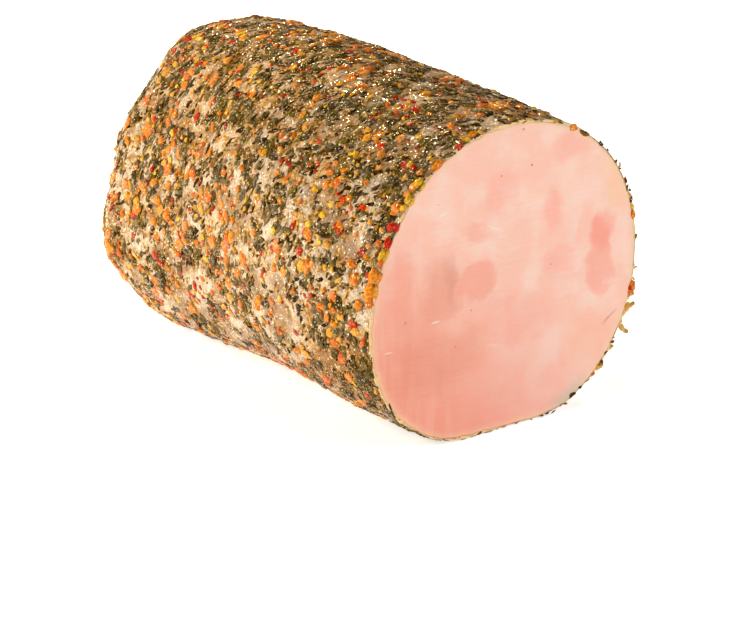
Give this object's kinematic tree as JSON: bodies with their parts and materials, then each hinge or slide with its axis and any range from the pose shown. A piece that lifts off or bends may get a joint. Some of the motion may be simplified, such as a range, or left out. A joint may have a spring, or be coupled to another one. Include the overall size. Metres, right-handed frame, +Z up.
{
  "type": "sliced turkey breast",
  "caption": "Boned and rolled turkey breast in a coat of herbs and vegetable flakes, lying on its side: one end is sliced off flat and shows the meat, the other is rounded.",
  "frame": {"origin": "on the surface that the roll rests on, under the middle of its bounding box", "axes": "+Y runs along the roll from its cut face to its rounded end, +Z is up, +X points to the right of someone who stands before the cut face and looks along the roll"},
  "size_m": [0.1424, 0.2186, 0.1374],
  "materials": {
    "herb_coated_meat": "satin"
  },
  "bodies": {
    "root": {"turkey_breast": "herb_coated_meat"}
  },
  "joints": []
}
